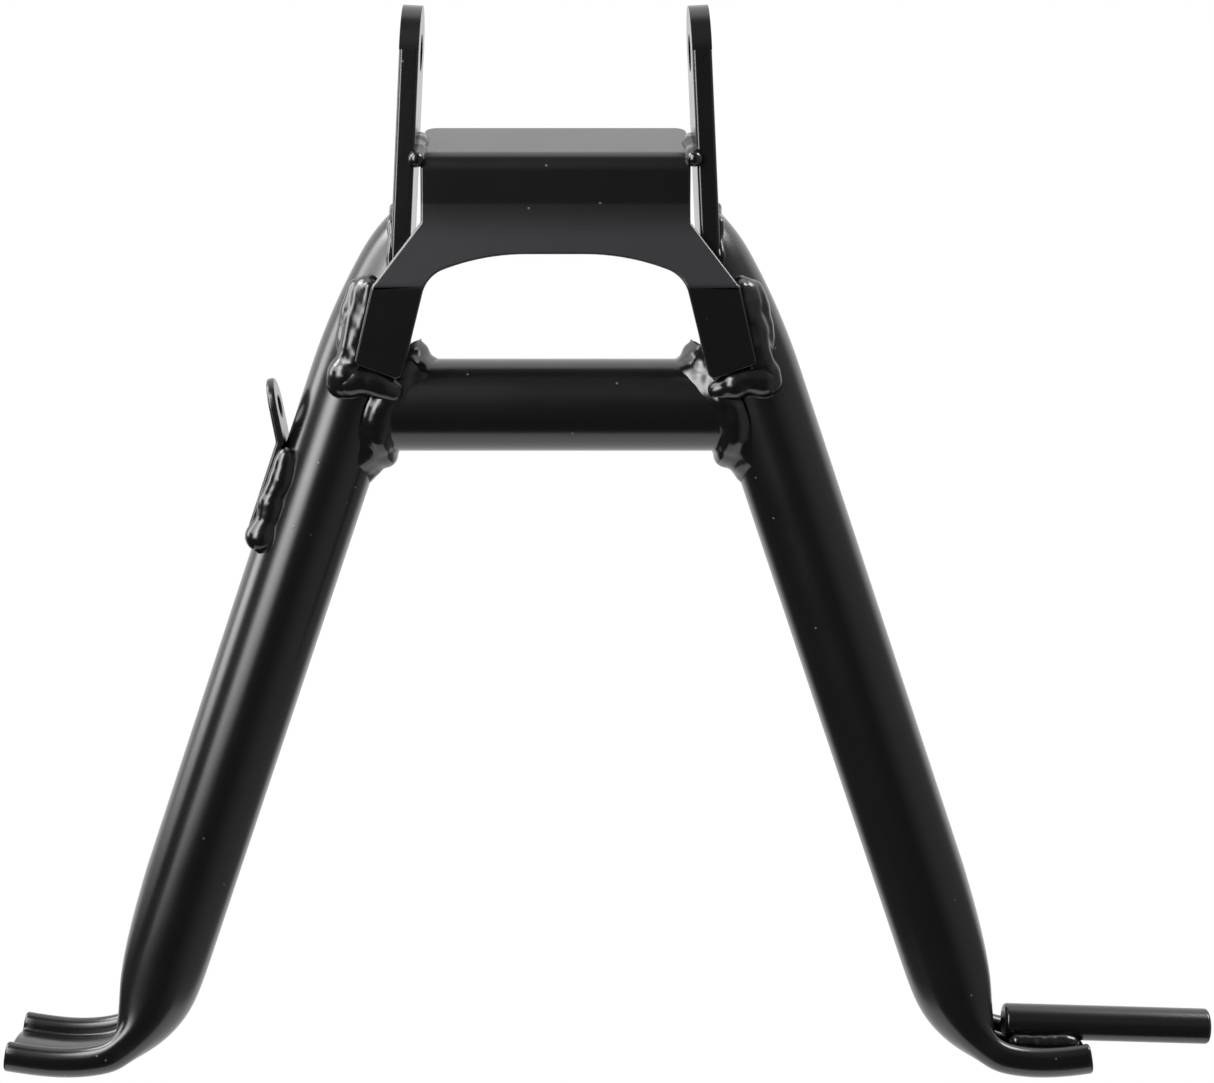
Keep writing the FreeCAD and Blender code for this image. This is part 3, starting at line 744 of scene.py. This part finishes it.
def ringStrands():
    lean = math.radians(legTube["lean"])
    across = crossTube["radius"]
    strands = [[]]
    strands += [[] for side in ringWeld["tubeSide"] + ringWeld["legSide"]]
    for step in range(ringWeld["steps"] + 1):
        angle = 2 * math.pi * step / ringWeld["steps"]
        x = copeX(angle)
        y = math.cos(angle)
        z = math.sin(angle)
        sides = ringWeld["sides"]
        main = ringWeld["main"] * (ringWeld["sideMain"] + ringWeld["topMain"] * abs(z))
        lift = ringWeld["lift"] * z * z
        distance = across + lift - ringWeld["step"] * abs(y)
        outset = ringWeld["sideOutset"] * abs(y)
        points = [(x - lift + outset, distance * y, distance * z - crossTube["drop"], main)]
        tubeShare = sides + (1 - sides) * max(0, z)
        legShare = sides + (1 - sides) * z if z > 0 else sides + (ringWeld["bottom"] - sides) * z * z
        for reach, radius, sunk in ringWeld["tubeSide"]:
            swell = reach * tubeShare * (1 + ringWeld["ripple"] * math.sin(3 * angle + 1))
            flat = across - sunk * tubeShare
            points.append((x - swell, flat * y, flat * z - crossTube["drop"], radius * tubeShare))
        seamTurn = math.acos(1 - (1 - crossTube["copeTrim"] / across) * y * y)
        for reach, radius, sunk in ringWeld["legSide"]:
            turn = math.copysign(seamTurn + reach * legShare * abs(y) / across, y)
            skin = legTube["radius"] - sunk * legShare
            inwards = skin * math.cos(turn)
            drop = crossTube["drop"] - (across + reach * legShare) * z
            axis = onLeg(drop - inwards * math.sin(lean))
            points.append((
                axis.x - inwards * math.cos(lean), skin * math.sin(turn),
                axis.z - inwards * math.sin(lean), radius * legShare))
        for strand, point in zip(strands, points):
            strand.append(point)
    return strands


def alongStrand(strand, spacing):
    points = [Vector(point) for point in strand]
    lengths = [(there.xyz - here.xyz).length for here, there in zip(points, points[1:])]
    total = sum(lengths)
    count = max(3, round(total / spacing))
    found = []
    for step in range(count + 1):
        walk = total * step / count
        for index, length in enumerate(lengths):
            if walk <= length or index == len(lengths) - 1:
                found.append((points[index].lerp(points[index + 1], min(1, walk / length)), step / count))
                break
            walk -= length
    return found, total


def legSkin(side, sunk, spare, top, bottom):
    turnOver = -1 if side == "left" else 1
    rows = []
    for row in upperRows(legTube["radius"] - sunk):
        middle = (row[0].z + row[len(row) // 2].z) / 2
        if top + spare > middle > bottom - spare:
            rows.append([Vector((point.x * turnOver, point.y, point.z)) for point in row])
    form = rollUp("legSkin", rows)
    closeUp(form)
    return form


def crossSkin(side, sunk, spare, inner):
    turnOver = -1 if side == "left" else 1
    radius = crossTube["radius"] - sunk
    rows = []
    for x in (inner - spare, onLeg(crossTube["drop"]).x):
        row = []
        for corner in range(crossTube["around"]):
            angle = 2 * math.pi * corner / crossTube["around"]
            row.append(Vector((
                x * turnOver, radius * math.cos(angle), radius * math.sin(angle) - crossTube["drop"])))
        rows.append(row)
    form = rollUp("crossSkin", rows)
    closeUp(form)
    return form


def layWeld(node, strands, seed, smoothing, skins=()):
    luck = random.Random(seed)
    lumps = []
    for strand in strands:
        smallest = min(point[3] for point in strand)
        phases = [luck.uniform(0, 6.28) for turn in range(5)]
        found, total = alongStrand(strand, smallest * weldBeads["spacing"])
        for point, share in found:
            walk = share * total
            slow, fast = weldBeads["swellPaces"]
            swell = math.sin(walk * slow + phases[0]) + 0.5 * math.sin(walk * fast + phases[1])
            size = point[3] * (1 + weldBeads["swell"] * swell)
            pace = weldBeads["waverPace"]
            waver = Vector([math.sin(walk * pace + phase) for phase in phases[2:]]) * weldBeads["waver"]
            deselectAll()
            bpy.ops.mesh.primitive_ico_sphere_add(
                subdivisions=3, radius=size * mm, location=(point.xyz + waver) * mm)
            lumps.append(bpy.context.object)
    melted = lumps + [skin(weldBeads["skinSunk"], 0) for skin in skins]
    deselectAll()
    for lump in melted:
        lump.select_set(True)
    bead = lumps[0]
    bpy.context.view_layer.objects.active = bead
    bpy.ops.object.join()
    bpy.ops.object.transform_apply(location=True, rotation=True, scale=True)
    bead.name = node + "_bead"
    applyModifier(bead, "REMESH", mode="VOXEL", voxel_size=weldBeads["voxel"] * mm)
    applyModifier(bead, "SMOOTH", factor=0.5, iterations=smoothing)
    for skin in skins:
        core = skin(weldBeads["coreSunk"], weldBeads["coreSpare"])
        applyModifier(bead, "BOOLEAN", object=core, operation="DIFFERENCE", solver="MANIFOLD")
        bpy.data.objects.remove(core)
    bead.data.materials.clear()
    bead.data.materials.append(weldPaint)
    smoothByAngle(bead, beadSmoothAngle)
    place(bead, node)
    return bead


def mirrorStrands(strands):
    return [[(-x, y, z, radius) for x, y, z, radius in strand] for strand in strands]


seams["cross_tube_weld"] = ringStrands()
seed = 0
for name, strands in seams.items():
    for side in ("left", "right"):
        seed += 1
        if name == "wing_side_weld":
            less = wingEndLess[side]
            strands = [[(x, y, z, radius - (z < wingEndHeight) * less) for x, y, z, radius in strand]
                       for strand in strands]
        sideStrands = strands if side == "right" else mirrorStrands(strands)
        kind = name.split("_")[0]
        skins = []
        if kind in legSkinEnds:
            skins.append(
                lambda sunk, spare, side=side, ends=legSkinEnds[kind]: legSkin(side, sunk, spare, *ends))
        if kind == "cross":
            skins.append(lambda sunk, spare, side=side: crossSkin(side, sunk, spare, crossSkinStart))
        layWeld(side + "_" + name, sideStrands, seed, meltSmoothing[kind], skins)
for facing, name in ((-1, "front"), (1, "back")):
    seed += 2
    strand = [(x, y * facing, z, radius) for x, y, z, radius in leverSeam]
    layWeld(name + "_lever_weld", [strand], seed, meltSmoothing["lever"])
    strands = [[(-x, y * facing, z, radius) for x, y, z, radius in strand] for strand in tabSeams]
    skins = [lambda sunk, spare: legSkin("left", sunk, spare, *legSkinEnds["tab"])]
    layWeld(name + "_tab_weld", strands, seed + 1, meltSmoothing["tab"], skins)
print("welds laid")


# Studio

def makePaper():
    material = bpy.data.materials.new("paper")
    material.use_nodes = True
    nodes = material.node_tree.nodes
    links = material.node_tree.links
    shader = nodes["Principled BSDF"]
    shader.inputs["Base Color"].default_value = studioSettings["paperColour"]
    shader.inputs["Roughness"].default_value = 0.9
    glow = nodes.new("ShaderNodeEmission")
    glow.inputs["Strength"].default_value = studioSettings["whiteness"]
    rays = nodes.new("ShaderNodeLightPath")
    seen = nodes.new("ShaderNodeMath")
    seen.operation = "MAXIMUM"
    links.new(rays.outputs["Is Camera Ray"], seen.inputs[0])
    links.new(rays.outputs["Is Transmission Ray"], seen.inputs[1])
    mirrored = nodes.new("ShaderNodeMath")
    mirrored.operation = "MAXIMUM"
    links.new(seen.outputs["Value"], mirrored.inputs[0])
    links.new(rays.outputs["Is Glossy Ray"], mirrored.inputs[1])
    mix = nodes.new("ShaderNodeMixShader")
    links.new(mirrored.outputs["Value"], mix.inputs["Fac"])
    links.new(shader.outputs["BSDF"], mix.inputs[1])
    links.new(glow.outputs["Emission"], mix.inputs[2])
    links.new(mix.outputs["Shader"], nodes["Material Output"].inputs["Surface"])
    return material


deselectAll()
bpy.ops.mesh.primitive_plane_add(
    size=1, location=(
        0, studioSettings["floorFront"] + studioSettings["floorLength"] / 2, -studioSettings["floorDrop"]))
floor = bpy.context.object
floor.name = "studioFloor"
floor.scale = (studioSettings["floorWidth"], studioSettings["floorLength"], 1)
floor.data.materials.append(makePaper())


def makeLamp(name, values):
    spot, target, width, height, radiance = values
    light = bpy.data.lights.new(name, "AREA")
    light.shape = "RECTANGLE"
    light.size = width
    light.size_y = height
    light.energy = radiance * math.pi * width * height
    lamp = bpy.data.objects.new(name, light)
    bpy.context.scene.collection.objects.link(lamp)
    away = Vector(spot) - Vector(target)
    lamp.rotation_euler = away.to_track_quat("Z", "Y").to_euler()
    lamp.location = spot
    lamp.visible_camera = False


for name, values in lampSettings.items():
    makeLamp(name, values)


skySettings = {
    # height of the direction, from -1 straight down to 1 straight up: brightness
    "front": ((-1.0, 0.05), (0.18, 0.05), (0.34, 0.12), (0.50, 0.14), (0.70, 0.12), (1.0, 0.14)),
    "behind": 1.15,
    "behindFrom": 0.2,
    "behindTo": 0.7,
    "behindRise": 0.45,             # how much earlier it turns bright overhead
    "rightSide": 0.22,
    "rightFrom": 0.2,
    "rightTo": 0.9,
}


def makeSky():
    world = bpy.data.worlds.new("studioSky")
    bpy.context.scene.world = world
    world.use_nodes = True
    nodes = world.node_tree.nodes
    links = world.node_tree.links
    background = nodes["Background"]
    coordinates = nodes.new("ShaderNodeTexCoord")
    parts = nodes.new("ShaderNodeSeparateXYZ")
    links.new(coordinates.outputs["Generated"], parts.inputs["Vector"])

    height = nodes.new("ShaderNodeMapRange")
    height.inputs["From Min"].default_value = -1
    links.new(parts.outputs["Z"], height.inputs["Value"])
    front = nodes.new("ShaderNodeValToRGB")
    stops = front.color_ramp.elements
    for index, (rise, brightness) in enumerate(skySettings["front"]):
        position = (rise + 1) / 2
        if index in (0, 1):
            stop = stops[index]
            stop.position = position
        else:
            stop = stops.new(position)
        stop.color = (brightness, brightness, brightness, 1)
    links.new(height.outputs["Result"], front.inputs["Fac"])

    right = nodes.new("ShaderNodeMapRange")
    right.interpolation_type = "SMOOTHSTEP"
    right.inputs["From Min"].default_value = skySettings["rightFrom"]
    right.inputs["From Max"].default_value = skySettings["rightTo"]
    right.inputs["To Max"].default_value = skySettings["rightSide"]
    links.new(parts.outputs["X"], right.inputs["Value"])
    ahead = nodes.new("ShaderNodeMath")
    links.new(front.outputs["Color"], ahead.inputs[0])
    links.new(right.outputs["Result"], ahead.inputs[1])

    behind = nodes.new("ShaderNodeMapRange")
    behind.interpolation_type = "SMOOTHSTEP"
    behind.inputs["From Min"].default_value = skySettings["behindFrom"]
    behind.inputs["From Max"].default_value = skySettings["behindTo"]
    behind.inputs["To Max"].default_value = skySettings["behind"]
    sooner = nodes.new("ShaderNodeMath")
    sooner.operation = "MULTIPLY_ADD"
    sooner.inputs[1].default_value = skySettings["behindRise"]
    links.new(parts.outputs["Z"], sooner.inputs[0])
    links.new(parts.outputs["Y"], sooner.inputs[2])
    links.new(sooner.outputs["Value"], behind.inputs["Value"])
    around = nodes.new("ShaderNodeMath")
    around.operation = "MAXIMUM"
    links.new(ahead.outputs["Value"], around.inputs[0])
    links.new(behind.outputs["Result"], around.inputs[1])

    rays = nodes.new("ShaderNodeLightPath")
    seen = nodes.new("ShaderNodeMath")
    seen.operation = "MAXIMUM"
    links.new(rays.outputs["Is Camera Ray"], seen.inputs[0])
    links.new(rays.outputs["Is Transmission Ray"], seen.inputs[1])
    level = nodes.new("ShaderNodeMix")
    level.inputs[3].default_value = 1
    links.new(seen.outputs["Value"], level.inputs[0])
    links.new(around.outputs["Value"], level.inputs[2])
    links.new(level.outputs[0], background.inputs["Strength"])
    background.inputs["Color"].default_value = (1, 1, 1, 1)


makeSky()
print("studio lit")


# Camera

def placeCamera():
    data = bpy.data.cameras.new("pictureCamera")
    data.sensor_width = cameraSettings["sensor"]
    data.lens = cameraSettings["focalPixels"] / cameraSettings["pictureWidth"] * cameraSettings["sensor"]
    half = cameraSettings["pictureWidth"] / 2
    data.shift_x = (half - cameraSettings["axisPixel"]) / cameraSettings["pictureWidth"]
    data.clip_start = 0.01
    camera = bpy.data.objects.new("pictureCamera", data)
    bpy.context.scene.collection.objects.link(camera)
    camera.location = cameraSettings["place"]
    camera.rotation_euler = (math.radians(90 - cameraSettings["downwards"]), 0, 0)
    bpy.context.scene.camera = camera


placeCamera()
bpy.context.scene.view_settings.view_transform = "Standard"
